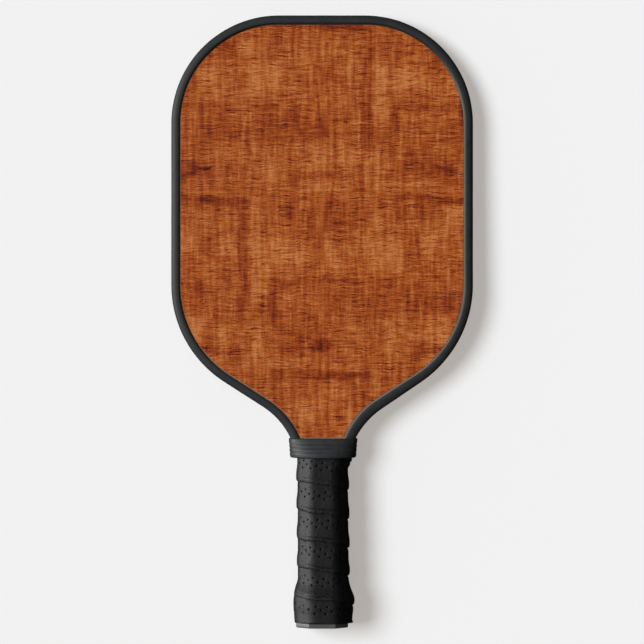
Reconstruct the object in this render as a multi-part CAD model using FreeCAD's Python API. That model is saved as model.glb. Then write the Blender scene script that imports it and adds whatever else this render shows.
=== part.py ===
"""Pickleball paddle, 400 mm long: a honeycomb-cored blade in a rubber edge guard, on a wrapped handle.

Frame: the origin is the middle of the butt's flat end. +Y runs along the handle to the blade's tip,
+X is across the blade, and +Z is the normal of the front face, so the mid-plane is Z = 0.
Lengths are in millimetres and angles in degrees. Each function below makes one sub-part.
"""

import FreeCAD, Part

import math
import os

Vector = FreeCAD.Vector

# --- Blade outline, at the outside of the edge guard -------------------------------------------
OVERALL_LENGTH = 400.0
BLADE_WIDTH = 197.2
TIP_CORNER_R = 70.5
SHOULDER_R = 75.4  # rounded lower corners of the blade
SHOULDER_TOP_Y = 223.8  # where the straight sides end
THROAT_ANGLE = 57.3  # how far the outline has turned inwards where the throat begins
THROAT_RUN = 30.1  # straight stretch between shoulder and throat
THROAT_R = 49.0  # hollow curve into the handle

# --- Blade layers, half thicknesses measured from the mid-plane ---------------------------------
CORE_HALF = 6.5
BOND_T = 0.15
FACE_SHEET_T = 0.5
PRINT_FILM_T = 0.3
BOND_HALF = CORE_HALF + BOND_T
FACE_HALF = BOND_HALF + FACE_SHEET_T
FILM_HALF = FACE_HALF + PRINT_FILM_T

# --- Honeycomb ----------------------------------------------------------------------------------
CELL_PITCH = 8.0  # distance between the centres of neighbouring cells
CELL_WALL = 0.3

# --- Edge guard, a channel moulded to the outline -----------------------------------------------
GUARD_WALL = 2.0
GUARD_LIP = 5.3  # from the outside to the lip's inner edge
GUARD_HALF = 8.8
GUARD_ROUND = 4.2  # outer corner radius
LIP_EDGE = 0.4  # bevel on the lip's inner edge
GUARD_END_Y = 117.0
GUARD_TAPE_T = 0.4
GUARD_TAPE_HALF = 6.0
PLATE_INSET = GUARD_WALL + GUARD_TAPE_T
GUARD_FILM_GAP = 1.05  # the print film stops this far inside the guard's lip
COLLAR_FILM_GAP = 0.35  # and this far above the collar

# --- Tongue, the strip of the blade that runs down inside the handle ----------------------------
TONGUE_HALF = 12.0
TONGUE_START_Y = 5.0
TONGUE_SHOULDER_Y = 113.4
NECK_START_Y = 115.0

# --- Handle: an octagon, wider than it is deep --------------------------------------------------
HANDLE_HALF_W = 14.8
DEPTH_DROP = 1.65  # how much less the half depth is than the half width
HANDLE_CHAMFER = 7.1
CHAMFER_GROWTH = 2 - math.sqrt(2)  # a 45-degree chamfer's leg grows by this when all faces move out by 1
HANDLE_START_Y = 3.2
NOSE_START_Y = 113.0
NOSE_END_Y = 122.4
NOSE_END_HALF = 8.9
NOSE_HALF_W = 11.6
NOSE_NARROW_Y = 116.5
HANDLE_BOND_T = 0.25
CHANNEL_HALF = FACE_HALF + HANDLE_BOND_T
CHANNEL_CLEARANCE = 0.05
POCKET_HALF_W = 7.2
POCKET_ROOF = 11.0
POCKET_LENGTH = 10.0
POCKET_PITCH = 11.8
POCKET_START_Y = 32.0
POCKET_COUNT = 6

# --- Butt cap -----------------------------------------------------------------------------------
CAP_RING_Y = 3.1  # the bare end ring reaches to here, and the grip covers the rest
CAP_MOUTH_Y = 28.4
CAP_FIT = 0.05
# (Y, half width) along the bare ring and along the flare under the grip
CAP_RING = [(0.0, 16.4), (0.5, 16.85), (1.4, 17.0), (CAP_RING_Y, 17.0)]
CAP_FLARE = [
    (CAP_RING_Y, 16.6),
    (7.5, 17.0),
    (12.7, 17.65),
    (18.0, 17.7),
    (23.2, 16.35),
    (CAP_MOUTH_Y, 15.45),
]
BADGE_R = 10.0
BADGE_T = 1.2
BADGE_EDGE = 0.3

# --- Staples that hold the butt cap -------------------------------------------------------------
STAPLE_Y = 22.0
STAPLE_SPAN = 10.0
STAPLE_WIRE = 0.8
STAPLE_TOP = 14.4
STAPLE_TIP = 8.4

# --- Grip, from the butt cap to under the collar ------------------------------------------------
BACKING_T = 0.15
GRIP_T = 1.7
GRIP_BLEND_Y = 31.5
GRIP_END_Y = 113.2
FINISH_T = 0.3
FINISH_START_Y = 111.2
FINISH_END_Y = 114.8
FINISH_END_HALF_W = 16.0

# --- Rubber collar over the neck ----------------------------------------------------------------
COLLAR_START_Y = 110.8
COLLAR_END_Y = 123.8
COLLAR_WIDE_Y = 112.3  # where the rounded lower edge reaches full width
COLLAR_RIBS = 3
COLLAR_RIB_PITCH = 2.8
COLLAR_GROOVE = 0.45
COLLAR_GROOVE_W = 0.8
# half width, half depth and corner radius
COLLAR_LOW = (21.0, 17.0, 11.0)
COLLAR_TOP = (21.9, 12.0, 9.0)
COLLAR_EDGE_INSET = 1.0
CAVITY = [
    (COLLAR_START_Y, 17.0, 15.35, 8.0),
    (GRIP_END_Y, 17.05, 15.35, 8.0),
    (NOSE_NARROW_Y, 18.4, 14.0, 6.5),
    (COLLAR_END_Y, 20.85, 9.0, 4.5),
]

# The outline's arc centres follow from its dimensions.
HALF_WIDTH = BLADE_WIDTH / 2
TURN = math.radians(THROAT_ANGLE)
TIP_CENTRE = Vector(HALF_WIDTH - TIP_CORNER_R, OVERALL_LENGTH - TIP_CORNER_R, 0)
SHOULDER_CENTRE = Vector(HALF_WIDTH - SHOULDER_R, SHOULDER_TOP_Y, 0)
THROAT_NORMAL = Vector(math.cos(TURN), -math.sin(TURN), 0)
THROAT_ALONG = Vector(-math.sin(TURN), -math.cos(TURN), 0)
THROAT_CENTRE = SHOULDER_CENTRE + THROAT_NORMAL * (SHOULDER_R + THROAT_R) + THROAT_ALONG * THROAT_RUN


# --- Small helpers ------------------------------------------------------------------------------
def mirrored(point):
    return Vector(-point.x, point.y, point.z)


def arc(start, middle, end):
    return Part.Arc(start, middle, end).toShape()


def wire(edges):
    return Part.Wire(Part.__sortEdges__(edges))


def plate(outline, low, high):
    """A flat sheet between two heights, from a wire drawn at Z = 0."""
    sheet = Part.Face(outline).extrude(Vector(0, 0, high - low))
    sheet.translate(Vector(0, 0, low))
    return sheet


def flipped(shape):
    """The same piece on the paddle's back: a half turn about the Y axis."""
    turned = shape.copy()
    turned.rotate(Vector(0, 0, 0), Vector(0, 1, 0), 180)
    return turned


def box(x_half, y_low, y_high, z_low, z_high):
    return Part.makeBox(2 * x_half, y_high - y_low, z_high - z_low, Vector(-x_half, y_low, z_low))


# --- Blade outline ------------------------------------------------------------------------------
def throat_point(inset, y):
    """Where the outline, moved inwards by inset, crosses a height in the hollow throat curve."""
    rise = y - THROAT_CENTRE.y
    radius = THROAT_R + inset
    return Vector(THROAT_CENTRE.x - math.sqrt(radius**2 - rise**2), y, 0)


def throat_arc(inset, y_low):
    """The hollow curve from y_low up to the straight stretch."""
    radius = THROAT_R + inset
    end_turn = math.asin((y_low - THROAT_CENTRE.y) / radius)
    mid_turn = (end_turn + TURN) / 2
    points = [
        THROAT_CENTRE + Vector(-math.cos(turn), math.sin(turn), 0) * radius
        for turn in (end_turn, mid_turn, TURN)
    ]
    return points


def right_edges(inset, y_low):
    """The outline's right side, from the throat at y_low to the middle of the tip."""
    low, middle, throat_top = throat_arc(inset, y_low)
    shoulder_r = SHOULDER_R - inset
    tip_r = TIP_CORNER_R - inset
    shoulder_low = SHOULDER_CENTRE + THROAT_NORMAL * shoulder_r
    shoulder_mid = SHOULDER_CENTRE + Vector(math.cos(TURN / 2), -math.sin(TURN / 2), 0) * shoulder_r
    shoulder_top = SHOULDER_CENTRE + Vector(shoulder_r, 0, 0)
    tip_side = TIP_CENTRE + Vector(tip_r, 0, 0)
    tip_mid = TIP_CENTRE + Vector(1, 1, 0) * (tip_r / math.sqrt(2))
    tip_top = TIP_CENTRE + Vector(0, tip_r, 0)
    return [
        ("arc", low, middle, throat_top),
        ("line", throat_top, shoulder_low),
        ("arc", shoulder_low, shoulder_mid, shoulder_top),
        ("line", shoulder_top, tip_side),
        ("arc", tip_side, tip_mid, tip_top),
    ]


def outline_edges(inset, y_low):
    """Both sides and the tip, as edges from the right throat round to the left."""
    edges = []
    for kind, *points in right_edges(inset, y_low):
        for side in (points, [mirrored(p) for p in points]):
            edges.append(arc(*side) if kind == "arc" else Part.makeLine(*side))
    tip_top = TIP_CENTRE + Vector(0, TIP_CORNER_R - inset, 0)
    edges.append(Part.makeLine(tip_top, mirrored(tip_top)))
    return edges


def closed_outline(inset, y_low):
    """The blade outline closed by a straight edge across the throat."""
    low = throat_point(inset, y_low)
    return wire(outline_edges(inset, y_low) + [Part.makeLine(low, mirrored(low))])


def plate_outline():
    """The outline of the core and its skins: the blade and the tongue in one piece."""
    neck = throat_point(PLATE_INSET, NECK_START_Y)
    corner = Vector(TONGUE_HALF, TONGUE_SHOULDER_Y, 0)
    foot = Vector(TONGUE_HALF, TONGUE_START_Y, 0)
    sides = []
    for a, b in ((neck, corner), (corner, foot)):
        sides += [Part.makeLine(a, b), Part.makeLine(mirrored(a), mirrored(b))]
    foot_edge = Part.makeLine(foot, mirrored(foot))
    return wire(outline_edges(PLATE_INSET, NECK_START_Y) + sides + [foot_edge])


# --- Blade --------------------------------------------------------------------------------------
def hexagon(x, y):
    """One cell's opening, with a corner pointing along Y."""
    corner_r = (CELL_PITCH - CELL_WALL) / math.sqrt(3)
    corners = [
        Vector(x + corner_r * math.sin(turn), y + corner_r * math.cos(turn), 0)
        for turn in (i * math.pi / 3 for i in range(7))
    ]
    return Part.makePolygon(corners)


def cell_centres():
    row_pitch = CELL_PITCH * math.sqrt(3) / 2
    rows = int(OVERALL_LENGTH / row_pitch) + 1
    columns = int(HALF_WIDTH / CELL_PITCH) + 1
    for row in range(rows):
        shift = CELL_PITCH / 2 if row % 2 else 0.0
        for column in range(-columns, columns + 1):
            yield column * CELL_PITCH + shift, row * row_pitch


def honeycomb_core():
    """The core sheet, routed to the plate outline, so the cells along its edge are cut open."""
    outline = plate_outline()
    sheet = Part.Face(outline)
    whole, cut = [], []
    for x, y in cell_centres():
        cell = hexagon(x, y)
        inside = [sheet.isInside(v.Point, 1e-6, True) for v in cell.Vertexes]
        clear = outline.distToShape(cell)[0] > CELL_WALL / 2
        if all(inside) and clear:
            whole.append(cell)
        elif any(inside) or not clear:
            cut.append(Part.Face(cell))
    routed = sheet.cut(cut)
    comb = max(routed.Faces, key=lambda face: face.Area)
    comb.cutHoles(whole)
    comb.validate()
    core = comb.extrude(Vector(0, 0, 2 * CORE_HALF))
    core.translate(Vector(0, 0, -CORE_HALF))
    return core


def front_bond_film():
    return plate(plate_outline(), CORE_HALF, BOND_HALF)


def front_face_sheet():
    return plate(plate_outline(), BOND_HALF, FACE_HALF)


def front_print_film():
    """The decorative film, trimmed just inside the guard's lips and the collar."""
    return plate(closed_outline(GUARD_LIP + GUARD_FILM_GAP, COLLAR_END_Y + COLLAR_FILM_GAP), FACE_HALF, FILM_HALF)


def edge_guard():
    """A rounded channel swept along the outline, open at the throat."""
    start, middle, _ = throat_arc(0, GUARD_END_Y)
    inwards = (start - THROAT_CENTRE).normalize()
    lip_flat = GUARD_LIP - LIP_EDGE
    round_low = GUARD_HALF - GUARD_ROUND
    bulge = GUARD_ROUND * (1 - math.cos(math.pi / 4))

    def at(depth, z):
        return start + inwards * depth + Vector(0, 0, z)

    section = [Part.makeLine(at(0, -round_low), at(0, round_low))]
    for side in (1, -1):
        round_start = at(0, side * round_low)
        round_middle = at(bulge, side * (GUARD_HALF - bulge))
        round_end = at(GUARD_ROUND, side * GUARD_HALF)
        section.append(arc(round_start, round_middle, round_end))
        corners = [
            (GUARD_ROUND, GUARD_HALF),
            (lip_flat, GUARD_HALF),
            (GUARD_LIP, GUARD_HALF - LIP_EDGE),
            (GUARD_LIP, FACE_HALF),
            (GUARD_WALL, FACE_HALF),
        ]
        for (d0, z0), (d1, z1) in zip(corners, corners[1:]):
            section.append(Part.makeLine(at(d0, side * z0), at(d1, side * z1)))
    section.append(Part.makeLine(at(GUARD_WALL, -FACE_HALF), at(GUARD_WALL, FACE_HALF)))

    sweep = Part.BRepOffsetAPI.MakePipeShell(wire(outline_edges(0, GUARD_END_Y)))
    sweep.setBiNormalMode(Vector(0, 0, 1))
    sweep.add(wire(section))
    sweep.build()
    sweep.makeSolid()
    return sweep.shape()


def edge_guard_tape():
    """The double-sided strip between the core's edge and the guard's channel."""
    outer = plate(closed_outline(GUARD_WALL, GUARD_END_Y), -GUARD_TAPE_HALF, GUARD_TAPE_HALF)
    inner = plate(closed_outline(PLATE_INSET, GUARD_END_Y), -GUARD_TAPE_HALF, GUARD_TAPE_HALF)
    return outer.cut(inner)


# --- Octagonal handle sections ------------------------------------------------------------------
def octagon(y, half_w, grow=0.0):
    """An octagon at height y, with depth and chamfers that follow from its half width.

    grow moves all its faces outwards.
    """
    w = half_w + grow
    d = half_w - DEPTH_DROP + grow
    c = HANDLE_CHAMFER + CHAMFER_GROWTH * (w - HANDLE_HALF_W)
    front = [(w, d - c), (w - c, d), (c - w, d), (-w, d - c)]
    corners = front + [(-x, -z) for x, z in front]
    points = [Vector(x, y, z) for x, z in corners]
    return Part.makePolygon(points + points[:1])


def octagon_loft(stations, grow=0.0):
    return Part.makeLoft([octagon(y, half_w, grow) for y, half_w in stations], True, True)


def grip_stations():
    """(Y, half width) of the surface that the grip is wound on."""
    return CAP_FLARE + [(GRIP_BLEND_Y, HANDLE_HALF_W), (GRIP_END_Y, HANDLE_HALF_W)]


# --- Handle -------------------------------------------------------------------------------------
def handle_front_half():
    """Half of the handle's shell, ribbed inside, with a channel for the tongue and a sloping nose."""
    body = octagon_loft([(HANDLE_START_Y, HANDLE_HALF_W), (NOSE_END_Y, HANDLE_HALF_W)])
    reach = 2 * HANDLE_HALF_W
    channel_half = TONGUE_HALF + CHANNEL_CLEARANCE
    half_depth = HANDLE_HALF_W - DEPTH_DROP
    slope = Part.makePolygon(
        [
            Vector(-reach, NOSE_START_Y, half_depth),
            Vector(-reach, NOSE_END_Y, NOSE_END_HALF),
            Vector(-reach, NOSE_END_Y + 1, NOSE_END_HALF),
            Vector(-reach, NOSE_END_Y + 1, reach),
            Vector(-reach, NOSE_START_Y, reach),
            Vector(-reach, NOSE_START_Y, half_depth),
        ]
    )
    removed = [
        box(reach, HANDLE_START_Y - 1, NOSE_END_Y + 1, -reach, 0),
        box(channel_half, HANDLE_START_Y - 1, TONGUE_SHOULDER_Y, -1, CHANNEL_HALF),
        box(reach, TONGUE_SHOULDER_Y, NOSE_END_Y + 1, -1, CHANNEL_HALF),
        Part.Face(slope).extrude(Vector(2 * reach, 0, 0)),
    ]
    for x in (-reach, NOSE_HALF_W):
        corner = Vector(x, NOSE_NARROW_Y, 0)
        removed.append(Part.makeBox(reach - NOSE_HALF_W, NOSE_END_Y + 1 - NOSE_NARROW_Y, reach, corner))
    for i in range(POCKET_COUNT):
        y = POCKET_START_Y + i * POCKET_PITCH
        removed.append(box(POCKET_HALF_W, y, y + POCKET_LENGTH, 0, POCKET_ROOF))
    removed.append(staple())
    return body.cut(removed)


def front_handle_bond_tape():
    """The adhesive sheet between the tongue's face and the handle half."""
    y_low = TONGUE_START_Y
    return box(TONGUE_HALF, y_low, NOSE_NARROW_Y, FACE_HALF, CHANNEL_HALF)


def butt_cap():
    """A flared cup over the handle's end, with a bare end ring."""
    ring = octagon_loft(CAP_RING)
    flare = octagon_loft(CAP_FLARE)
    pocket_half_w = HANDLE_HALF_W + CAP_FIT
    pocket = octagon_loft([(HANDLE_START_Y, pocket_half_w), (CAP_MOUTH_Y + 1, pocket_half_w)])
    seat = Part.makeCylinder(BADGE_R, BADGE_T, Vector(0, 0, 0), Vector(0, 1, 0))
    staples = [staple(), flipped(staple())]
    slots = [staple_slot(), flipped(staple_slot())]
    return ring.fuse(flare).removeSplitter().cut([pocket, seat] + staples + slots)


def end_badge():
    """A blank round badge, flush with the butt's end."""
    badge = Part.makeCylinder(BADGE_R, BADGE_T, Vector(0, 0, 0), Vector(0, 1, 0))
    rim = [e for e in badge.Edges if isinstance(e.Curve, Part.Circle) and e.CenterOfMass.y < BADGE_T / 2]
    return badge.makeChamfer(BADGE_EDGE, rim)


def staple():
    """A flat-crowned staple through the butt cap's front wall into the handle half."""
    half = STAPLE_WIRE / 2
    y_low, y_high = STAPLE_Y - half, STAPLE_Y + half
    crown = box(STAPLE_SPAN / 2, y_low, y_high, STAPLE_TOP - STAPLE_WIRE, STAPLE_TOP)
    legs = [
        Part.makeBox(STAPLE_WIRE, STAPLE_WIRE, STAPLE_TOP - STAPLE_TIP, Vector(x, y_low, STAPLE_TIP))
        for x in (-STAPLE_SPAN / 2, STAPLE_SPAN / 2 - STAPLE_WIRE)
    ]
    return crown.fuse(legs).removeSplitter()


def staple_slot():
    """The dent that the crown sinks into."""
    half = STAPLE_WIRE / 2
    return box(STAPLE_SPAN / 2, STAPLE_Y - half, STAPLE_Y + half, STAPLE_TOP, STAPLE_TOP + 4)


def butt_cap_staples():
    return Part.makeCompound([staple(), flipped(staple())])


# --- Grip and collar ----------------------------------------------------------------------------
def sleeve(stations, inner, outer):
    return octagon_loft(stations, outer).cut(octagon_loft(stations, inner))


def grip_backing_tape():
    return sleeve(grip_stations(), 0, BACKING_T)


def grip_wrap():
    """The cushioned grip as one plain sleeve of the wound tape's outer shape."""
    return sleeve(grip_stations(), BACKING_T, BACKING_T + GRIP_T)


def finishing_tape():
    """The narrow tape that holds the grip's upper end, stretched up over the neck."""
    grip_half_w = HANDLE_HALF_W + BACKING_T + GRIP_T
    stations = [(FINISH_START_Y, grip_half_w), (GRIP_END_Y, grip_half_w), (FINISH_END_Y, FINISH_END_HALF_W)]
    return sleeve(stations, 0, FINISH_T)


def rounded_rectangle(y, half_w, half_d, radius):
    """A rounded rectangle at height y, in the plane across the handle."""
    centre_x, centre_z = half_w - radius, half_d - radius
    near = radius / math.sqrt(2)
    edges = []
    for sx, sz in ((1, 1), (-1, 1), (-1, -1), (1, -1)):
        side = Vector(sx * half_w, y, sz * centre_z)
        middle = Vector(sx * (centre_x + near), y, sz * (centre_z + near))
        top = Vector(sx * centre_x, y, sz * half_d)
        edges.append(arc(side, middle, top))
    for s in (1, -1):
        edges.append(Part.makeLine(Vector(-centre_x, y, s * half_d), Vector(centre_x, y, s * half_d)))
        edges.append(Part.makeLine(Vector(s * half_w, y, -centre_z), Vector(s * half_w, y, centre_z)))
    return wire(edges)


def collar_section(y, inset):
    """The collar's outer section at height y, between its low and top sizes, moved in by inset."""
    share = (y - COLLAR_START_Y) / (COLLAR_END_Y - COLLAR_START_Y)
    half_w, half_d, radius = (a + (b - a) * share for a, b in zip(COLLAR_LOW, COLLAR_TOP))
    return rounded_rectangle(y, half_w - inset, half_d - inset, radius - inset)


def rubber_collar():
    """The elastic band over the neck, with rib grooves round it."""
    profile = [(COLLAR_START_Y, COLLAR_EDGE_INSET), (COLLAR_WIDE_Y, 0)]
    groove_half = COLLAR_GROOVE_W / 2
    for i in range(COLLAR_RIBS):
        groove = COLLAR_START_Y + COLLAR_RIB_PITCH * (i + 1) + COLLAR_GROOVE_W
        profile += [(groove - groove_half, 0), (groove, COLLAR_GROOVE), (groove + groove_half, 0)]
    profile += [(COLLAR_END_Y - COLLAR_GROOVE, 0), (COLLAR_END_Y, COLLAR_GROOVE)]
    outside = Part.makeLoft([collar_section(y, inset) for y, inset in profile], True, True)
    cavity = Part.makeLoft([rounded_rectangle(*station) for station in CAVITY], True, True)
    return outside.cut(cavity)


NODES = {
    "honeycomb_core": honeycomb_core,
    "front_bond_film": front_bond_film,
    "back_bond_film": lambda: flipped(front_bond_film()),
    "front_face_sheet": front_face_sheet,
    "back_face_sheet": lambda: flipped(front_face_sheet()),
    "front_print_film": front_print_film,
    "back_print_film": lambda: flipped(front_print_film()),
    "edge_guard": edge_guard,
    "edge_guard_tape": edge_guard_tape,
    "handle_front_half": handle_front_half,
    "handle_back_half": lambda: flipped(handle_front_half()),
    "front_handle_bond_tape": front_handle_bond_tape,
    "back_handle_bond_tape": lambda: flipped(front_handle_bond_tape()),
    "butt_cap": butt_cap,
    "butt_cap_staples": butt_cap_staples,
    "end_badge": end_badge,
    "grip_backing_tape": grip_backing_tape,
    "grip_wrap": grip_wrap,
    "finishing_tape": finishing_tape,
    "rubber_collar": rubber_collar,
}


def main():
    os.makedirs("parts", exist_ok=True)
    for name, make in NODES.items():
        shape = make()
        shape.exportStep(f"parts/{name}.step")
        print(f"{name}: {len(shape.Solids)} solid(s), {shape.Volume / 1000:.2f} cm3, {shape.isValid()}")


main()
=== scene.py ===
# Looks of the pickleball paddle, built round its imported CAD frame: the frame's origin is the middle
# of the butt's end, +Y runs to the blade's tip and +Z out of the front face. Sizes are in
# millimetres, and points become metres when a mesh is made.

import math

import bmesh
import bpy
import numpy as np
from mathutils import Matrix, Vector, noise


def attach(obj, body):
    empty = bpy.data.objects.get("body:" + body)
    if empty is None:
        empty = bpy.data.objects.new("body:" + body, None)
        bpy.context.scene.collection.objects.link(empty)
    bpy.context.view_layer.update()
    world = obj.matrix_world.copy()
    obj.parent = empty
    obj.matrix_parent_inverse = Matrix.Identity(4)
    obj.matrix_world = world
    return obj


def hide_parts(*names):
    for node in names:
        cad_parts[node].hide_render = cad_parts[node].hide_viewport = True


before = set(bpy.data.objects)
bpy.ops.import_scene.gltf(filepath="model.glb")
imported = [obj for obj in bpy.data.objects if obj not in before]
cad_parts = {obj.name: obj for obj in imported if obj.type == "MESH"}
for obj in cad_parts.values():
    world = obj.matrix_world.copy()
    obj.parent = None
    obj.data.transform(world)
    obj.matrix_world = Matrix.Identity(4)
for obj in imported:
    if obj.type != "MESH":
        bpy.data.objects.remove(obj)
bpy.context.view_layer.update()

MM = 0.001

# --- Blade outline and edge guard, as in the CAD model --------------------------------------------
TIP_Y = 400.0
TIP_FLAT = 28.1  # half of the straight run across the tip
TIP_R = 70.5
SIDE_RUN = 105.7
SHOULDER_R = 75.4
SHOULDER_TURN = 57.3
THROAT_RUN = 30.1
THROAT_R = 49.0
THROAT_TURN = 40.6
GUARD_WALL = 2.0
GUARD_LIP = 5.3
GUARD_HALF = 8.8
GUARD_CREST = 3.9  # depth in from the outside where the domed lip is highest
GUARD_CROWN = 3.4  # height of its elliptical shoulder
GUARD_SIDE = 2.0  # half height of its flat outer side
LIP_ROUND = 0.45
LIP_DROP = 0.2  # the rounded inner edge sits this share of its radius below the dome's end
FACE_HALF = 7.15
FILM_HALF = 7.45
FACE_GAP = 0.01  # left between the lip's underside and the face sheet
RIPPLE, RIPPLE_SCALE = 0.05, 0.06  # how far the moulded surface wavers, and how often to the mm
THROAT_SWELL = 1.35  # the guard stands out this much at the right of the throat
THROAT_SWELL_Y = 136.0
THROAT_SWELL_REACH = 25.0
SWELL_FADE = 0.85  # share of that swell lost by the lip's inner edge

# --- Handle octagon and its winding ---------------------------------------------------------------
BASE_HALF_W = 14.95  # surface that the grip tape is wound on
DEPTH_DROP = 1.65
CHAMFER = 7.19
CORNER_R = 6.3  # the cushioned tape rounds the octagon off this much
CHAMFER_GROWTH = 2 - math.sqrt(2)
GRIP_LOW_Y = 3.15
GRIP_HIGH_Y = 113.0
TAPE_W = 25.2
TAPE_MEAN = 1.7  # height above the handle at which lengths round the winding are taken
PITCH = 18.75
EDGE_Y = 13.6  # height of the tape's lower edge where the first whole turn starts
EDGE_SWAY = 1.4  # the tape climbs less across the front than across the back
EDGE_WOBBLE = [(0.3, 2.37, 0), (0.2, 5.3, 1), (0.11, 16.7, 0), (0.08, 29.3, 0)]  # size, waves, phase
TURN_FIRST = -1.85
TURN_LAST = 5.45
FLARE_BUTT = 1.8  # swelling over the butt cap at its very end, and where it is widest
FLARE_MOST = 2.9
FLARE_RISE_Y = (3.0, 14.0)
FLARE_FALL_Y = (17.0, 32.5)
LEAN_BUTT = 1.15  # the winding sits this far to the right at the butt, and less with height
LEAN_FALL = 0.008
TAPE_END = 2.0  # height of the lump that the tape's cut end makes
TAPE_END_Y = (103.5, 107.5)
HOLE_PITCH = 7.1
HOLE_ROW_PITCH = 2.35
HOLE_LOW_V = 9.75
HOLE_ROWS = 3
HOLE_MARK = "hole_depth"
CELL_STEPS = 8  # mesh steps across one cell of the hole pattern

# Heights above the handle of the tape's two sides, at distances v from the tape's lower edge. The
# outside is laid, padded over the turn below, rounded at its edge and pressed into a groove, and
# from the groove on it is tucked under the next turn.
LAID = 1.6
PADDING, PADDING_V, PADDING_REACH = 0.85, 3.0, 4.6
ROUNDING, ROUNDING_REACH = 0.55, 0.35
GROOVE, GROOVE_V, GROOVE_REACH = 0.85, 18.4, 1.6
TAPE_TUCKED = [(GROOVE_V, 0.75), (21.0, 0.8), (TAPE_W, 0.85)]
TAPE_INSIDE = [(0.0, 1.68), (1.0, 1.4), (2.5, 1.15), (6.9, 0.9), (7.8, 0.03), (TAPE_W, 0.03)]
OUTSIDE_LEAST = 0.95
INSIDE_LEAST = 0.03

# The pressed crease above the tape's lower edge, with a ridge beside it, deepest across the front
CREASE_V, CREASE_REACH, CREASE_DEPTH = 2.9, 0.5, 0.9
RIDGE_V, RIDGE_REACH, RIDGE_RISE = 3.9, 0.45, 0.4
CREASE_ALL_ROUND = 0.05  # the crease's depth away from the front
CREASE_WANDER = 0.5
CREASE_TOP_V = 5.6
WRINKLES, WRINKLES_FRONT = 0.08, 0.22  # their height all round, and what the front adds to it
WRINKLES_TOP_V, WRINKLES_FADE = 3.6, 1.5
UNEVENNESS, UNEVEN_TOP_V = 0.1, 19.0  # the slow waver, up to where the tape is tucked away
FRONT_SHARE, FRONT_REACH = 0.24, 0.1  # share of a turn at which the tape crosses the front

# --- Collar ---------------------------------------------------------------------------------------
COLLAR_LOW_Y = 110.8
COLLAR_HIGH_Y = 123.5
COLLAR_SHIFT = 0.65  # the tape's end pushes the collar's right side out twice this much
COLLAR_HALF_W = (21.0, 21.9)  # at its foot and at its top
COLLAR_HALF_D = (17.3, 12.0)
COLLAR_SQUARENESS = (2.15, 3.4)  # a higher power makes the section squarer
COLLAR_FOOT_ROUND = 1.3
COLLAR_TOP_ROUND = 0.6
COLLAR_PLAIN = [(120.6, 0.05), (121.4, 0.0), (122.6, 0.0)]  # (y, inset) of the band above the ribs
COLLAR_BOW, COLLAR_BOW_RUN = 0.7, 13.0  # the ribs droop this much at the sides, over this height
RIB_LOW_Y = 112.2
RIB_PITCH = 2.65
RIB_DEPTH = 0.4
RIBS = 3
RIB_STEPS = 10
COLLAR_COLUMNS = 192


def smoothstep(a, b, x):
    t = np.clip((x - a) / (b - a), 0.0, 1.0)
    return t * t * (3 - 2 * t)


def bell(x, centre, reach):
    """A soft peak: 1 at the centre, falling away over the reach on both sides."""
    return np.exp(-(((x - centre) / reach) ** 2))


def interp(table, v):
    return np.interp(v, [place for place, _ in table], [value for _, value in table])


def new_piece(name, points, faces, replaced):
    """A smooth-shaded mesh piece from points in millimetres, riding on the paddle."""
    mesh = bpy.data.meshes.new(name)
    mesh.from_pydata([tuple(p) for p in np.asarray(points) * MM], [], faces)
    mesh.validate()
    piece = bpy.data.objects.new(name, mesh)
    bpy.context.scene.collection.objects.link(piece)
    mesh.shade_smooth()
    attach(piece, "root")
    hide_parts(replaced)
    return piece


def clean_mesh(piece, distance):
    """Merges points that coincide and makes all faces point outwards."""
    bm = bmesh.new()
    bm.from_mesh(piece.data)
    bmesh.ops.remove_doubles(bm, verts=bm.verts, dist=distance * MM)
    bmesh.ops.dissolve_degenerate(bm, edges=bm.edges, dist=distance * MM)
    bmesh.ops.recalc_face_normals(bm, faces=bm.faces)
    bm.to_mesh(piece.data)
    bm.free()
    piece.data.shade_smooth()


def grid_faces(columns, rows, close_columns, close_rows):
    """Quads of a grid whose points are numbered column by column."""
    faces = []
    for i in range(columns if close_columns else columns - 1):
        here, there = i * rows, (i + 1) % columns * rows
        for j in range(rows if close_rows else rows - 1):
            k = (j + 1) % rows
            faces.append((here + j, there + j, there + k, here + k))
    return faces


# --- Edge guard -----------------------------------------------------------------------------------
def guard_path(step):
    """Points on the outline and their outward normals, from the left throat over the tip."""
    runs = [
        (TIP_FLAT, 0.0),
        (TIP_R * math.pi / 2, 90.0),
        (SIDE_RUN, 0.0),
        (SHOULDER_R * math.radians(SHOULDER_TURN), SHOULDER_TURN),
        (THROAT_RUN, 0.0),
        (THROAT_R * math.radians(THROAT_TURN), -THROAT_TURN),
    ]
    x, y, heading = 0.0, TIP_Y, 0.0
    path = [(x, y, heading)]
    for length, turn in runs:
        steps = math.ceil(length / step)
        bend = -math.radians(turn) / steps
        reach = length / steps
        for _ in range(steps):
            x += reach * math.cos(heading + bend / 2)
            y += reach * math.sin(heading + bend / 2)
            heading += bend
            path.append((x, y, heading))
    right = np.array(path)
    left = right[:0:-1] * (-1, 1, -1)
    path = np.concatenate([left, right])
    normals = np.stack([-np.sin(path[:, 2]), np.cos(path[:, 2])], axis=1)
    return path[:, :2], normals


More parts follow.
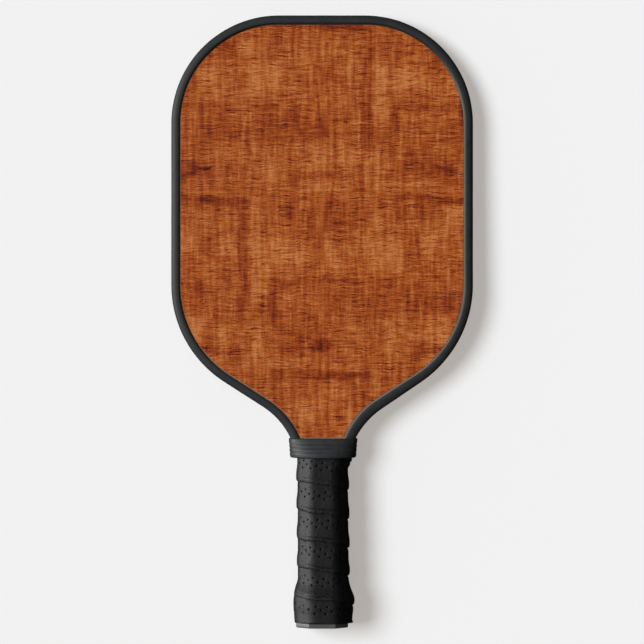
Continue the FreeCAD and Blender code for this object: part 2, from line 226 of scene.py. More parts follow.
def guard_section():
    """The channel's section as (depth from the outside, height), from the outside round."""
    def dome(depth):
        return GUARD_HALF - GUARD_CROWN * (1 - math.sqrt(1 - (1 - depth / GUARD_CREST) ** 2))

    upper = [(0.0, 0.0), (0.0, GUARD_SIDE)]
    last = math.acos(1 - (GUARD_LIP - LIP_ROUND) / GUARD_CREST)
    for turn in np.linspace(0, last, 16):
        depth = GUARD_CREST * (1 - math.cos(turn))
        upper.append((depth, dome(depth)))
    edge = dome(GUARD_LIP - LIP_ROUND)
    for turn in np.linspace(0, math.pi / 2, 5)[1:]:
        depth = GUARD_LIP - LIP_ROUND * (1 - math.sin(turn))
        upper.append((depth, edge - LIP_ROUND * (1 + LIP_DROP - math.cos(turn))))
    under = FACE_HALF + FACE_GAP
    upper += [(GUARD_LIP, under), (GUARD_WALL, under), (GUARD_WALL, 0.0)]
    lower = [(d, -z) for d, z in upper[-2:0:-1]]
    return upper + lower


def throat_swell(x, y):
    """How far the guard's outside stands out where it bends into the throat on the right."""
    return THROAT_SWELL * bell(y, THROAT_SWELL_Y, THROAT_SWELL_REACH) if x > 0 else 0.0


def edge_guard():
    """The guard's channel moulding, run along the whole outline."""
    path, normals = guard_path(step=1.5)
    section = guard_section()
    points = []
    for (x, y), (nx, ny) in zip(path, normals):
        swell = throat_swell(x, y)
        for depth, height in section:
            stand_out = RIPPLE * noise.noise(Vector((x, y, height)) * RIPPLE_SCALE)
            stand_out += swell * (1 - SWELL_FADE * depth / GUARD_LIP)
            points.append((x - nx * (depth - stand_out), y - ny * (depth - stand_out), height))
    rows = len(section)
    faces = grid_faces(len(path), rows, False, True)
    faces += [tuple(range(rows)), tuple(range(len(points) - 1, len(points) - rows - 1, -1))]
    piece = new_piece("edge_guard_moulding", points, faces, "edge_guard")
    clean_mesh(piece, distance=0.001)
    return piece


# --- Grip tape ------------------------------------------------------------------------------------
def ring_table():
    """Knots round the handle's rounded octagon: share of a turn, corner's centre, and direction."""
    half_w = BASE_HALF_W - CORNER_R
    half_d = half_w - DEPTH_DROP
    chamfer = CHAMFER - CHAMFER_GROWTH * CORNER_R
    quarter = [(half_w, half_d - chamfer), (half_w - chamfer, half_d)]
    quarter += [(-x, z) for x, z in reversed(quarter)]
    centres = quarter + [(-x, -z) for x, z in quarter]
    tape_r = CORNER_R + TAPE_MEAN
    knots = [(0.0, half_w, 0.0, 0.0)]
    walked, x, z = 0.0, half_w, 0.0
    for i, (cx, cz) in enumerate(centres):
        walked += math.hypot(cx - x, cz - z)
        knots.append((walked, cx, cz, i * math.pi / 4))
        walked += tape_r * math.pi / 4
        knots.append((walked, cx, cz, (i + 1) * math.pi / 4))
        x, z = cx, cz
    walked -= z
    knots.append((walked, half_w, 0.0, 2 * math.pi))
    table = np.array(knots)
    return table[:, 0] / walked, table[:, 1], table[:, 2], table[:, 3], walked


SHARES, CENTRE_X, CENTRE_Z, DIRECTION, GIRTH = ring_table()


def flare(y):
    """How far the handle swells outwards over the butt cap."""
    rise = (FLARE_MOST - FLARE_BUTT) * smoothstep(*FLARE_RISE_Y, y)
    return FLARE_BUTT + rise - FLARE_MOST * smoothstep(*FLARE_FALL_Y, y)


def tape_end(y, direction):
    """The lump of the tape's cut end, under the collar's right side."""
    return TAPE_END * smoothstep(*TAPE_END_Y, y) * np.clip(np.cos(direction), 0, 1) ** 2


def tape_lean(y):
    """How far to the right the winding sits, more so towards the butt."""
    return LEAN_BUTT - LEAN_FALL * y


def on_handle(turn, y, height, least):
    """The point at a height above the leaning winding, but at least so far above the handle."""
    share = np.mod(turn, 1.0)
    centre_x = np.interp(share, SHARES, CENTRE_X)
    centre_z = np.interp(share, SHARES, CENTRE_Z)
    direction = np.interp(share, SHARES, DIRECTION)
    lean = tape_lean(y)
    height = np.maximum(height, least - lean * np.cos(direction))
    reach = CORNER_R + flare(y) + tape_end(y, direction) + height
    return centre_x + lean + reach * np.cos(direction), y, centre_z + reach * np.sin(direction)


def edge_height(turn):
    """Y of the tape's lower edge."""
    angle = 2 * math.pi * turn
    wobble = sum(size * np.sin(waves * angle + phase) for size, waves, phase in EDGE_WOBBLE)
    return EDGE_Y + PITCH * turn + EDGE_SWAY * np.cos(angle) + wobble


def tape_point(turn, v, height, least):
    """A point on the tape: turns along it, v across it from its lower edge, height above the handle."""
    climb = PITCH / GIRTH
    cos_climb = 1 / math.hypot(1, climb)
    y = np.clip(edge_height(turn) + v * cos_climb, GRIP_LOW_Y, GRIP_HIGH_Y)
    shifted = turn - v * climb * cos_climb / GIRTH
    return on_handle(shifted, y, height, least)


def outside_height(v):
    """The tape's outside above the handle: padded over the turn below it, thinning towards its top."""
    padding = PADDING * bell(v, PADDING_V, PADDING_REACH)
    rounding = ROUNDING * np.exp(-v / ROUNDING_REACH)
    groove = GROOVE * bell(v, GROOVE_V, GROOVE_REACH)
    return np.where(v < GROOVE_V, LAID + padding - rounding - groove, interp(TAPE_TUCKED, v))


def rows_across():
    """Distances across the tape of the mesh rows outside the holes' rows, below and above them."""
    low = [0.0, 0.25, 0.6, 1.1, 1.7, 2.2, 2.6, 2.9, 3.2, 3.5, 3.9, 4.4, 5.2, 6.6, 8.4]
    high_start = HOLE_LOW_V + HOLE_ROW_PITCH * (HOLE_ROWS - 0.5)
    high = [high_start + d for d in (0.8, 1.8, 2.7, 3.6, 4.6, 6.0, 8.0)] + [TAPE_W]
    return low, high


def hole_rows():
    """(v, place in the cell from -1 to 1, row number) for the mesh rows of the holes' cells."""
    rows = []
    for row in range(HOLE_ROWS):
        centre = HOLE_LOW_V + row * HOLE_ROW_PITCH
        for k in range(CELL_STEPS + (row == HOLE_ROWS - 1)):
            b = 2 * k / CELL_STEPS - 1
            rows.append((centre + b * HOLE_ROW_PITCH / 2, b, row))
    return rows


# For a hole's square rings of mesh points, from the cell's edge inwards: radius and depth
HOLE_RINGS = {1.0: (None, 0.0), 0.75: (0.72, 0.0), 0.5: (0.62, 0.05), 0.25: (0.52, 0.8), 0.0: (0.0, 0.85)}


def hole_shift(a, b):
    """(along, across, depth) of the mesh point at (a, b) in a cell with a hole."""
    radius, depth = HOLE_RINGS[max(abs(a), abs(b))]
    along, across = a * HOLE_PITCH / 4, b * HOLE_ROW_PITCH / 2
    if radius is None:
        return along, across, depth
    turn = math.atan2(b, a)
    return radius * math.cos(turn), radius * math.sin(turn), depth


def tape_column(i, step, low, middle, high):
    """(along, across, depth) of the outside's points in mesh column i, with its holes dented in."""
    along = i * step
    cell, k = divmod(i, CELL_STEPS)
    a = 2 * k / CELL_STEPS - 1
    column = [(along, v, 0.0) for v in low]
    for v, b, row in middle:
        owner = cell if k else cell - ((cell + row) % 2)
        holed = (owner + row) % 2 == 0
        if holed and abs(a) != 1.0 and abs(b) != 1.0:
            da, db, depth = hole_shift(a, b)
            centre_v = HOLE_LOW_V + row * HOLE_ROW_PITCH
            column.append(((cell + 0.5) * HOLE_PITCH / 2 + da, centre_v + db, depth))
        else:
            column.append((along, v, 0.0))
    return column + [(along, v, 0.0) for v in high]


def grip_tape():
    """The cushioned tape, wound in an overlapping spiral, with three staggered rows of holes."""
    step = HOLE_PITCH / 2 / CELL_STEPS
    columns = int((TURN_LAST - TURN_FIRST) * GIRTH / step) // CELL_STEPS * CELL_STEPS + 1
    low, high = rows_across()
    middle = hole_rows()
    outside = np.array([tape_column(i, step, low, middle, high) for i in range(columns)])
    along, v, dent = outside[..., 0], outside[..., 1], outside[..., 2]
    turn = TURN_FIRST + along / GIRTH
    height = outside_height(v) - dent + tape_relief(turn, v)
    outer = np.stack(tape_point(turn, v, height, OUTSIDE_LEAST), axis=-1)

    inner_v = np.array([TAPE_W, 20.0, 14.0, 8.2, 7.3, 5.0, 2.5, 1.0, 0.0])
    along = np.arange(columns)[:, None] * step
    inner_turn = np.repeat(TURN_FIRST + along / GIRTH, len(inner_v), axis=1)
    inner_v = np.repeat(inner_v[None, :], columns, axis=0)
    height = interp(TAPE_INSIDE, inner_v)
    inner = np.stack(tape_point(inner_turn, inner_v, height, INSIDE_LEAST), axis=-1)

    points = np.concatenate([outer, inner], axis=1)
    rows = points.shape[1]
    count = columns * rows
    faces = grid_faces(columns, rows, False, True)
    faces += [tuple(range(rows)), tuple(range(count - 1, count - rows - 1, -1))]
    piece = new_piece("grip_tape_winding", points.reshape(-1, 3), faces, "grip_wrap")
    # Each point's depth in its hole is kept on the mesh; the material paints shade into the holes with
    # it.
    depth_in_hole = np.concatenate([dent, np.zeros(inner.shape[:2])], axis=1)
    mark = piece.data.attributes.new(HOLE_MARK, "FLOAT", "POINT")
    mark.data.foreach_set("value", depth_in_hole.ravel())
    clean_mesh(piece, distance=0.004)
    return piece


def crease_relief(t, w):
    """The crease, its ridge and the wrinkles below them, at turn t and distance w across."""
    wander = CREASE_WANDER * noise.noise(Vector((t * 6, 7.7, 0.0)))
    front = bell(t % 1, FRONT_SHARE, FRONT_REACH)
    depth = max(0.0, 0.6 + 0.8 * noise.noise(Vector((t * 11, 0.4, 5.2))))
    crease = bell(w - wander, CREASE_V, CREASE_REACH)
    ridge = bell(w - wander, RIDGE_V, RIDGE_REACH)
    below = min(1.0, max(0.0, (WRINKLES_TOP_V - w) / WRINKLES_FADE))
    wrinkles = (WRINKLES + WRINKLES_FRONT * front) * below
    wrinkles *= noise.noise(Vector((t * 60, w * 1.6, 1.7)))
    pressed = front * depth * (RIDGE_RISE * ridge - CREASE_DEPTH * crease)
    return pressed - CREASE_ALL_ROUND * crease + wrinkles


def tape_relief(turn, v):
    """The tape's slow unevenness, and its crease where it is near its lower edge."""
    relief = np.zeros_like(v)
    for index in np.ndindex(v.shape):
        t, w = turn[index], v[index]
        if w <= UNEVEN_TOP_V:
            relief[index] = UNEVENNESS * noise.noise(Vector((t * 9, w * 0.12, 3.1)))
        if w < CREASE_TOP_V:
            relief[index] += crease_relief(t, w)
    return relief


# --- Collar ---------------------------------------------------------------------------------------
def collar_size(y):
    """Half width, half depth and rounding power of the collar's outside at a height."""
    share = (y - COLLAR_LOW_Y) / (COLLAR_HIGH_Y - COLLAR_LOW_Y)
    sizes = (COLLAR_HALF_W, COLLAR_HALF_D, COLLAR_SQUARENESS)
    half_w, half_d, squareness = (foot + (top - foot) * share for foot, top in sizes)
    return half_w, half_d, 2 / squareness


def collar_profile():
    """(y, inset) up the collar's outside: a rounded foot, ribs, a plain band and a rounded top."""
    profile = []
    for turn in np.linspace(0, math.pi / 2, 7):
        y = COLLAR_LOW_Y + COLLAR_FOOT_ROUND * (1 - math.cos(turn))
        profile.append((y, COLLAR_FOOT_ROUND * (1 - math.sin(turn))))
    for step in range(RIBS * RIB_STEPS):
        up = (step + 0.5) * RIB_PITCH / RIB_STEPS
        swell = abs(math.sin(math.pi * up / RIB_PITCH))
        profile.append((RIB_LOW_Y + up, RIB_DEPTH * (1 - swell**0.6)))
    profile += COLLAR_PLAIN
    for turn in np.linspace(0, math.pi / 2, 5):
        y = COLLAR_HIGH_Y - COLLAR_TOP_ROUND * (1 - math.sin(turn))
        profile.append((y, COLLAR_TOP_ROUND * (1 - math.cos(turn))))
    return profile


def rounded(turn, power):
    """Shares of the half width and half depth reached at a turn round the collar."""
    cos_t, sin_t = math.cos(turn), math.sin(turn)
    return math.copysign(abs(cos_t) ** power, cos_t), math.copysign(abs(sin_t) ** power, sin_t)


def rubber_collar():
    """The elastic ribbed band, stretched over the neck."""
    outside = collar_profile()
    inside = [(COLLAR_HIGH_Y, 20.9, 9.1), (116.5, 18.4, 14.0)]
    inside += [(113.2, 17.1, 15.4), (COLLAR_LOW_Y, 17.05, 15.4)]
    columns = COLLAR_COLUMNS
    points = []
    for i in range(columns):
        turn = 2 * math.pi * i / columns
        for y, inset in outside:
            half_w, half_d, power = collar_size(y)
            across, up = rounded(turn, power)
            above_foot = y > COLLAR_LOW_Y + 1.5
            bow = COLLAR_BOW * across**2 * (COLLAR_HIGH_Y - y) / COLLAR_BOW_RUN * above_foot
            x = across * (half_w - inset) + COLLAR_SHIFT * (1 + across)
            points.append((x, y - bow, up * (half_d - inset)))
        for y, half_w, half_d in inside:
            across, up = rounded(turn, collar_size(y)[2])
            points.append((across * half_w, y, up * half_d))
    rows = len(outside) + len(inside)
    faces = grid_faces(columns, rows, True, True)
    piece = new_piece("rubber_collar_band", points, faces, "rubber_collar")
    clean_mesh(piece, distance=0.001)
    return piece


# --- Materials ------------------------------------------------------------------------------------
class Nodes:
    """A procedural node tree, in the frame's coordinates."""

    def __init__(self, owner, shader, place):
        owner.use_nodes = True
        self.material = owner
        self.tree = owner.node_tree
        self.shader = self.tree.nodes[shader]
        self.place = self.tree.nodes.new("ShaderNodeTexCoord").outputs[place]

    def put(self, socket, value):
        if isinstance(value, bpy.types.NodeSocket):
            self.tree.links.new(value, socket)
        else:
            socket.default_value = value

    def vector(self, operation, *values):
        node = self.tree.nodes.new("ShaderNodeVectorMath")
        node.operation = operation
        for socket, value in zip(node.inputs, values):
            self.put(socket, value)
        return node.outputs["Vector"]

    def split(self, vector):
        """The three parts of a vector, by the names X, Y and Z."""
        node = self.tree.nodes.new("ShaderNodeSeparateXYZ")
        self.put(node.inputs["Vector"], vector)
        return node.outputs

    def join(self, **parts):
        node = self.tree.nodes.new("ShaderNodeCombineXYZ")
        for name, value in parts.items():
            self.put(node.inputs[name], value)
        return node.outputs["Vector"]

    def noise(self, scale, detail, roughness=0.5, place=None):
        """Noise with so many bumps to the metre along each axis."""
        node = self.tree.nodes.new("ShaderNodeTexNoise")
        self.put(node.inputs["Vector"], self.vector("MULTIPLY", place or self.place, scale))
        node.inputs["Scale"].default_value = 1.0
        node.inputs["Detail"].default_value = detail
        node.inputs["Roughness"].default_value = roughness
        return node.outputs["Fac"]

    def math(self, operation, a, b=0.0, c=0.0, clamp=False):
        node = self.tree.nodes.new("ShaderNodeMath")
        node.operation = operation
        node.use_clamp = clamp
        for socket, value in zip(node.inputs, (a, b, c)):
            self.put(socket, value)
        return node.outputs["Value"]

    def band(self, value, low, high, to_low=0.0, to_high=1.0):
        """value's smooth rise from low to high, as a number from to_low to to_high."""
        node = self.tree.nodes.new("ShaderNodeMapRange")
        node.interpolation_type = "SMOOTHSTEP"
        self.put(node.inputs["Value"], value)
        node.inputs["From Min"].default_value = low
        node.inputs["From Max"].default_value = high
        node.inputs["To Min"].default_value = to_low
        node.inputs["To Max"].default_value = to_high
        return node.outputs["Result"]

    def ramp(self, value, stops):
        node = self.tree.nodes.new("ShaderNodeValToRGB")
        self.put(node.inputs["Fac"], value)
        elements = node.color_ramp.elements
        while len(elements) < len(stops):
            elements.new(0.5)
        for element, (position, colour) in zip(elements, stops):
            element.position = position
            element.color = (*colour, 1.0)
        return node.outputs["Color"]

    def bump(self, height, distance, strength):
        node = self.tree.nodes.new("ShaderNodeBump")
        node.inputs["Strength"].default_value = strength
        node.inputs["Distance"].default_value = distance * MM
        self.put(node.inputs["Height"], height)
        self.put(self.shader.inputs["Normal"], node.outputs["Normal"])

    def set(self, **values):
        names = {"colour": "Base Color", "roughness": "Roughness"}
        names |= {"metallic": "Metallic", "specular": "Specular IOR Level"}
        for key, value in values.items():
            if key == "colour" and isinstance(value, tuple):
                value = (*value, 1.0)
            self.put(self.shader.inputs[names[key]], value)


def new_material(name):
    return Nodes(bpy.data.materials.new(name), "Principled BSDF", "Object")


def srgb(*display):
    """Linear colour from eight-bit display values."""
    linear = []
    for value in display:
        share = value / 255
        linear.append(share / 12.92 if value <= 10 else ((share + 0.055) / 1.055) ** 2.4)
    return tuple(linear)


def shades(*stops):
    return [(position, srgb(*colour)) for position, colour in stops]


# The printed wood repeats: a tile is this wide and high, and each row of tiles is shifted by half.
TILE_W = 160.9
TILE_H = 114.3
TILE_TOP_Y = 279.3
# The printed figure's patches, read and placed one by one: how far across and down from the
# tile's corner, half width, half height, and tone (dark below zero, light above)
FIGURE = [
    (90, 0.5, 21, 3.4, -1.1),
    (58, -1, 12, 3.0, -0.5),
    (142, 6, 3.6, 10, -0.6),
    (12, 9, 11, 11, -0.85),
    (51, 5, 4, 9, -0.4),
    (63, 6, 3.5, 10, -0.4),
    (153, 22, 3.5, 12, -0.4),
    (109.5, 40, 4.2, 45, -0.55),
    (109.5, 67, 4.5, 16, -0.4),
    (155.5, 53.5, 30, 3, -0.55),
    (40, 53.5, 12, 3, -0.45),
    (21.5, 55, 4.5, 4, -0.4),
    (128.5, 67, 3.6, 15, -0.65),
    (50, 67, 50, 10, -0.28),
    (14, 71, 12, 12, -0.2),
    (41.5, 66, 5, 14, -0.2),
    (63, 65, 4.5, 14, -0.35),
    (80.5, 64, 3, 11, -0.5),
    (0.3, 95, 7.5, 4.5, -1.1),
    (146, 90, 16, 13, -0.38),
    (83.5, 98, 23, 2.4, -0.5),
    (62, 101, 4.2, 10, -0.4),
    (104, 101, 6, 8, -0.35),
    (119, 45, 5.8, 23, 0.85),
    (138, 36, 13, 10.5, 0.8),
    (8, 37, 9, 11, 0.6),
    (42, 35, 15, 12, 0.8),
    (100.5, 30, 5, 9, 0.6),
    (70.5, 25, 5, 10, 0.55),
    (35, 16, 5, 6, 0.6),
    (84, 16, 8, 9, 0.3),
    (138, 64, 6, 7, 0.35),
    (29, 63, 3.6, 6, 0.3),
    (75.5, 85, 9.5, 10, 0.85),
    (118, 92, 5.5, 16, 0.55),
    (98, 87, 6, 6, 0.5),
    (47, 92, 9, 14, 0.45),
    (134, 106, 22, 4, 0.4),
    (82, 105.5, 19, 4, 0.55),
    (16, 84, 6, 6, 0.35),
]


FADE_START, FADE_END = 0.4, 1.3  # where a patch starts to fade and is gone, in half sizes


def tile_place(m):
    """The place within the repeating print, in millimetres across and down, with its edges frayed."""
    spot = m.split(m.place)
    ragged = m.noise((60, 1600, 1), detail=2.0)
    wander = m.noise((90, 90, 1), detail=1.0)
    x = m.math("MULTIPLY_ADD", spot["X"], 1000.0, m.math("MULTIPLY_ADD", ragged, 5.0, -2.5))
    x = m.math("ADD", x, m.math("MULTIPLY_ADD", wander, 8.0, -4.0))
    down = m.math("MULTIPLY_ADD", spot["Y"], -1000.0, TILE_TOP_Y)
    down = m.math("ADD", down, m.math("MULTIPLY_ADD", wander, 5.0, -2.5))
    row = m.math("FLOOR", m.math("DIVIDE", down, TILE_H))
    v = m.math("SUBTRACT", down, m.math("MULTIPLY", row, TILE_H))
    u = m.math("WRAP", m.math("MULTIPLY_ADD", row, TILE_W / 2, x), TILE_W, 0.0)
    return m.join(X=u, Y=v)


def tile_images(u, v, half_w, half_h):
    """The patch and those of its repeats that reach into the same tile."""
    images = []
    for rows in (-1, 0, 1):
        for columns in (-1, 0, 1):
            iu = u + columns * TILE_W - rows * TILE_W / 2
            iv = v + rows * TILE_H
            if -half_w < iu < TILE_W + half_w and -half_h < iv < TILE_H + half_h:
                images.append((iu, iv))
    return images


def soft_box(m, offset):
    """1 well inside a box whose half sizes are 1, fading to 0 outside it."""
    fade = m.tree.nodes.new("ShaderNodeMapRange")
    fade.data_type = "FLOAT_VECTOR"
    fade.interpolation_type = "SMOOTHSTEP"
    sockets = {socket.identifier: socket for socket in fade.inputs}
    m.put(fade.inputs["Vector"], m.vector("ABSOLUTE", offset))
    m.put(sockets["From_Min_FLOAT3"], (FADE_START, FADE_START, 0))
    m.put(sockets["From_Max_FLOAT3"], (FADE_END, FADE_END, 1))
    m.put(sockets["To_Min_FLOAT3"], (1, 1, 0))
    m.put(sockets["To_Max_FLOAT3"], (0, 0, 0))
    sides = m.split(fade.outputs["Vector"])
    return m.math("MULTIPLY", sides["X"], sides["Y"])


def printed_figure(m):
    """Sum of the figure's dark and light patches."""
    place = tile_place(m)
    total = 0.0
    for u, v, half_w, half_h, tone in FIGURE:
        for iu, iv in tile_images(u, v, FADE_END * half_w, FADE_END * half_h):
            scale = (1 / half_w, 1 / half_h, 0)
            offset = m.vector("MULTIPLY_ADD", place, scale, (-iu / half_w, -iv / half_h, 0))
            total = m.math("MULTIPLY_ADD", soft_box(m, offset), tone, total)
    return total


FIGURE_WEIGHT, MEAN_TONE = 0.25, 0.71  # on a scale from the darkest wood at 0 to the palest at 1
PORE_DARKNESS = 0.38


def wood_film():
    """Printed curly wood under a clear satin film: grain and pores run across, the curl runs along."""
    m = new_material("wood_print")
    figure = printed_figure(m)
    place = wavy_place(m)
    curl = m.noise((190, 17, 1), detail=3.0, roughness=0.55)
    fine_curl = m.noise((400, 46, 1), detail=2.0, roughness=0.55)
    clouds = m.noise((30, 45, 1), detail=2.0)
    grain = m.noise((110, 1700, 1), detail=3.0, roughness=0.65, place=place)
    fleck = m.noise((900, 2300, 1), detail=1.0, place=place)
    streaks = m.noise((26, 620, 1), detail=3.0, roughness=0.6, place=place)
    tone = m.math("MULTIPLY_ADD", figure, FIGURE_WEIGHT, MEAN_TONE)
    weights = [(curl, 0.4), (fine_curl, 0.84), (clouds, 0.15)]
    weights += [(grain, 0.98), (streaks, 0.7), (fleck, 0.5)]
    for part, weight in weights:
        tone = m.math("ADD", tone, m.math("MULTIPLY_ADD", part, weight, -weight / 2))
    for scale in ((170, 2200, 1), (60, 1700, 1)):
        pores = m.band(m.noise(scale, detail=2.0, roughness=0.5, place=place), 0.55, 0.64)
        tone = m.math("SUBTRACT", tone, m.math("MULTIPLY", pores, PORE_DARKNESS))
    tone = m.math("ADD", tone, 0.0, clamp=True)
    colours = shades(
        (0.0, (58, 13, 2)),
        (0.25, (114, 34, 3)),
        (0.5, (156, 62, 10)),
        (0.75, (182, 92, 31)),
        (1.0, (206, 127, 68)),
    )
    m.set(colour=m.ramp(tone, colours), roughness=m.band(grain, 0.2, 0.8, 0.46, 0.56), specular=0.09)
    m.bump(grain, 0.02, 0.4)
    return m.material


def wavy_place(m):
    """The place in the frame, moved a little up and down so that the grain's lines waver."""
    wave = m.noise((110, 140, 1), detail=2.0)
    return m.vector("ADD", m.place, m.join(Y=m.math("MULTIPLY", wave, 0.004)))


def guard_rubber():
    """Black moulded rubber with a fine eggshell surface and faint scuffs."""
    m = new_material("guard_rubber")
    speckle = m.noise((4200, 4200, 4200), detail=2.0)
    scuffs = m.noise((160, 160, 160), detail=4.0, roughness=0.7)
    m.set(colour=m.ramp(scuffs, shades((0.3, (42, 42, 42)), (0.75, (51, 51, 50)))))
    m.set(roughness=m.band(scuffs, 0.25, 0.75, 0.48, 0.58), specular=0.07)
    m.bump(speckle, 0.03, 0.5)
    return m.material


def grip_polyurethane():
    """Black cushioned tape: a fine leathery grain with paler dust in it, and painted shade darkening its
    holes and their shine.
    """
    m = new_material("grip_polyurethane")
    pebble = m.noise((1500, 1500, 1500), detail=3.0, roughness=0.6)
    patches = m.noise((120, 120, 120), detail=3.0)
    dust = m.math("MULTIPLY_ADD", m.band(pebble, 0.5, 0.75), 0.5, patches)
    hole = m.tree.nodes.new("ShaderNodeAttribute")
    hole.attribute_name = HOLE_MARK
    # painted shade: the holes' colour and shine darken with their depth
    painted_hole_shade = m.band(hole.outputs["Fac"], 0.05, 0.5, 1.0, 0.1)
    colour = m.ramp(dust, shades((0.35, (12, 11, 11)), (1.0, (27, 26, 25))))
    m.set(colour=m.vector("MULTIPLY", colour, painted_hole_shade))
    m.set(roughness=m.band(pebble, 0.25, 0.75, 0.48, 0.64), specular=m.math("MULTIPLY", painted_hole_shade, 0.12))
    m.bump(pebble, 0.2, 0.85)
    return m.material


def collar_rubber():
    """Black elastic rubber, a little paler in patches."""
    m = new_material("collar_rubber")
    speckle = m.noise((2600, 2600, 2600), detail=2.0)
    patches = m.noise((200, 200, 200), detail=3.0)
    m.set(colour=m.ramp(patches, shades((0.3, (38, 38, 38)), (0.75, (47, 47, 47)))))
    m.set(roughness=m.band(patches, 0.25, 0.75, 0.54, 0.64), specular=0.17)
    m.bump(speckle, 0.03, 0.4)
    return m.material


def moulded_plastic(name, dark, light, low, high):
    """Moulded plastic with a fine spark texture."""
    m = new_material(name)
    spark = m.noise((3200, 3200, 3200), detail=2.0)
    patches = m.noise((90, 90, 90), detail=3.0)
    m.set(colour=m.ramp(patches, shades((0.3, dark), (0.75, light))))
    m.set(roughness=m.band(spark, 0.25, 0.75, low, high), specular=0.15)
    m.bump(spark, 0.02, 0.4)
    return m.material


TIP_SHADE_Y = (0.385, 0.345)  # metres: the painted shade is darkest above the first, gone below the second
TIP_SHADE = 0.12  # share of the sheet's colour left under the painted shade


def woven_laminate():
    """Glass cloth in pale resin, a plain weave of fine yarns, with a painted shadow of the guard's lip
    where it meets the blade's tip.
    """
    m = new_material("glass_laminate")
    yarns = []
    for direction in ("X", "Y"):
        node = m.tree.nodes.new("ShaderNodeTexWave")
        node.bands_direction = direction
        m.put(node.inputs["Vector"], m.place)
        node.inputs["Scale"].default_value = 260.0
        node.inputs["Distortion"].default_value = 0.4
        yarns.append(node.outputs["Fac"])
    weave = m.math("MULTIPLY", *yarns)
    # painted shadow of the guard's lip across the blade's tip
    painted_tip_shade = m.band(m.split(m.place)["Y"], *TIP_SHADE_Y, TIP_SHADE, 1.0)
    colour = m.ramp(weave, shades((0.0, (122, 108, 94)), (1.0, (146, 131, 114))))
    m.set(colour=m.vector("MULTIPLY", colour, painted_tip_shade), roughness=0.35, specular=0.1)
    m.bump(weave, 0.03, 0.5)
    return m.material


def clear_adhesive():
    """Pale, slightly blotchy glue and tape."""
    m = new_material("adhesive")
    blotch = m.noise((140, 140, 140), detail=4.0)
    m.set(colour=m.ramp(blotch, shades((0.3, (190, 178, 150)), (0.8, (214, 204, 180)))), roughness=0.45)
    m.bump(blotch, 0.05, 0.4)
    return m.material


def steel_wire():
    """Brushed steel."""
    m = new_material("staple_steel")
    brush = m.noise((400, 4000, 4000), detail=3.0)
    m.set(colour=m.ramp(brush, shades((0.2, (150, 150, 150)), (0.8, (196, 196, 194)))))
    m.set(metallic=1.0, roughness=m.band(brush, 0.2, 0.8, 0.25, 0.45))
    return m.material


def give(material, *names):
    for name in names:
        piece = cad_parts[name]
        piece.data.materials.clear()
        piece.data.materials.append(material)


def dress_cad_nodes():
    """Every CAD node that stays gets a material."""
    give(wood_film(), "front_print_film", "back_print_film")
    give(woven_laminate(), "front_face_sheet", "back_face_sheet")
    adhesive = clear_adhesive()
    give(adhesive, "front_bond_film", "back_bond_film", "edge_guard_tape", "grip_backing_tape")
    give(adhesive, "front_handle_bond_tape", "back_handle_bond_tape")
    core = moulded_plastic("core_polypropylene", (214, 216, 206), (228, 229, 220), 0.35, 0.5)
    give(core, "honeycomb_core")
    handle = moulded_plastic("handle_plastic", (38, 38, 40), (48, 48, 50), 0.4, 0.55)
    give(handle, "handle_front_half", "handle_back_half")
    give(moulded_plastic("cap_plastic", (80, 79, 78), (92, 91, 90), 0.36, 0.5), "butt_cap")
    give(moulded_plastic("badge_plastic", (52, 52, 54), (62, 62, 64), 0.3, 0.4), "end_badge")
    give(steel_wire(), "butt_cap_staples")
    vinyl = moulded_plastic("finishing_vinyl", (24, 24, 25), (32, 32, 33), 0.3, 0.4)
    give(vinyl, "finishing_tape")


# --- Stage ----------------------------------------------------------------------------------------
FLOOR_TOUCH_COLLAR = (112.2, -16.6)  # (y, z) of the two places where the paddle lies on the floor
FLOOR_TOUCH_TIP = (396.0, -8.85)
FLOOR_REACH = 3000.0
FLOOR_GREY = 0.58
VIEW_WIDTH = 420.6  # what the picture takes in at the blade's face
LENS = 180.0
VIEW_CENTRE_X = -0.08
VIEW_CENTRE_Y = 199.6
FLOOR_GLOW = 0.375  # the floor gives off a little light itself, so its shadows stay pale
KEY_FROM, KEY_STRENGTH, KEY_ANGLE = (-0.58, 0.13, 0.8), 2.95, 27
WINDOW_FROM, WINDOW_STRENGTH, WINDOW_ANGLE = (-0.97, 0.1, 0.2), 15.0, 48
ROOM_STRENGTH = 0.13
ROOM_SLOPE = 0.7  # the room is this share brighter on the left than its middle, and dimmer on the right


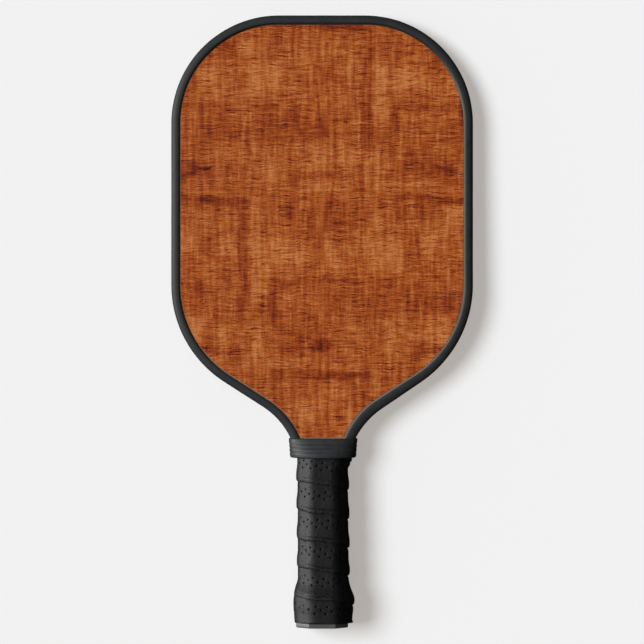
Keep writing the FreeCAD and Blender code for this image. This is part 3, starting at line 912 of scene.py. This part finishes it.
def make_floor():
    """A pale floor under the paddle, sloping so that both the collar and the tip rest on it."""
    (y0, z0), (y1, z1) = FLOOR_TOUCH_COLLAR, FLOOR_TOUCH_TIP
    slope = (z1 - z0) / (y1 - y0)
    corners = []
    for side, end in ((-1, -1), (1, -1), (1, 1), (-1, 1)):
        x, y = side * FLOOR_REACH, end * FLOOR_REACH
        corners.append((x * MM, y * MM, (z0 + slope * (y - y0)) * MM))
    mesh = bpy.data.meshes.new("floor")
    mesh.from_pydata(corners, [], [(0, 1, 2, 3)])
    floor = bpy.data.objects.new("floor", mesh)
    bpy.context.scene.collection.objects.link(floor)
    m = new_material("floor_paper")
    m.set(colour=(FLOOR_GREY, FLOOR_GREY, FLOOR_GREY), roughness=0.9, specular=0.0)
    m.shader.inputs["Emission Color"].default_value = (1.066, 1.0, 0.936, 1.0)
    m.shader.inputs["Emission Strength"].default_value = FLOOR_GLOW
    mesh.materials.append(m.material)
    floor.visible_diffuse = False  # it sends no light back to the paddle
    floor.visible_glossy = False


def make_camera():
    """A long lens straight above the blade."""
    data = bpy.data.cameras.new("camera")
    data.lens = LENS
    data.clip_end = 20.0
    camera = bpy.data.objects.new("camera", data)
    distance = VIEW_WIDTH * LENS / data.sensor_width
    camera.location = Vector((VIEW_CENTRE_X, VIEW_CENTRE_Y, FILM_HALF + distance)) * MM
    bpy.context.scene.collection.objects.link(camera)
    bpy.context.scene.camera = camera


def make_sun(name, source, strength, angle, colour):
    data = bpy.data.lights.new(name, "SUN")
    data.energy = strength
    data.angle = math.radians(angle)
    data.color = colour
    sun = bpy.data.objects.new(name, data)
    sun.rotation_mode = "QUATERNION"
    sun.rotation_quaternion = Vector(source).to_track_quat("Z", "Y")
    bpy.context.scene.collection.objects.link(sun)
    return sun


def make_lights():
    """A broad key light from the upper left, a low window on the left and a dim room."""
    make_sun("key", KEY_FROM, KEY_STRENGTH, KEY_ANGLE, (0.94, 1.0, 1.056))
    window = make_sun("window", WINDOW_FROM, WINDOW_STRENGTH, WINDOW_ANGLE, (1.0, 1.0, 1.0))
    window.visible_diffuse = False  # it only puts a shine on the black parts

    world = bpy.data.worlds.new("room")
    bpy.context.scene.world = world
    room = Nodes(world, "Background", "Generated")
    across = room.split(room.place)["X"]
    dim, bright = (1 - ROOM_SLOPE) * ROOM_STRENGTH, (1 + ROOM_SLOPE) * ROOM_STRENGTH
    room.put(room.shader.inputs["Strength"], room.band(across, 0.7, -0.7, dim, bright))
    room.shader.inputs["Color"].default_value = (1.0, 0.99, 0.98, 1.0)
    bpy.context.scene.view_settings.view_transform = "Standard"


def main():
    make_camera()
    make_floor()
    make_lights()
    dress_cad_nodes()
    edge_guard().data.materials.append(guard_rubber())
    grip_tape().data.materials.append(grip_polyurethane())
    rubber_collar().data.materials.append(collar_rubber())


main()
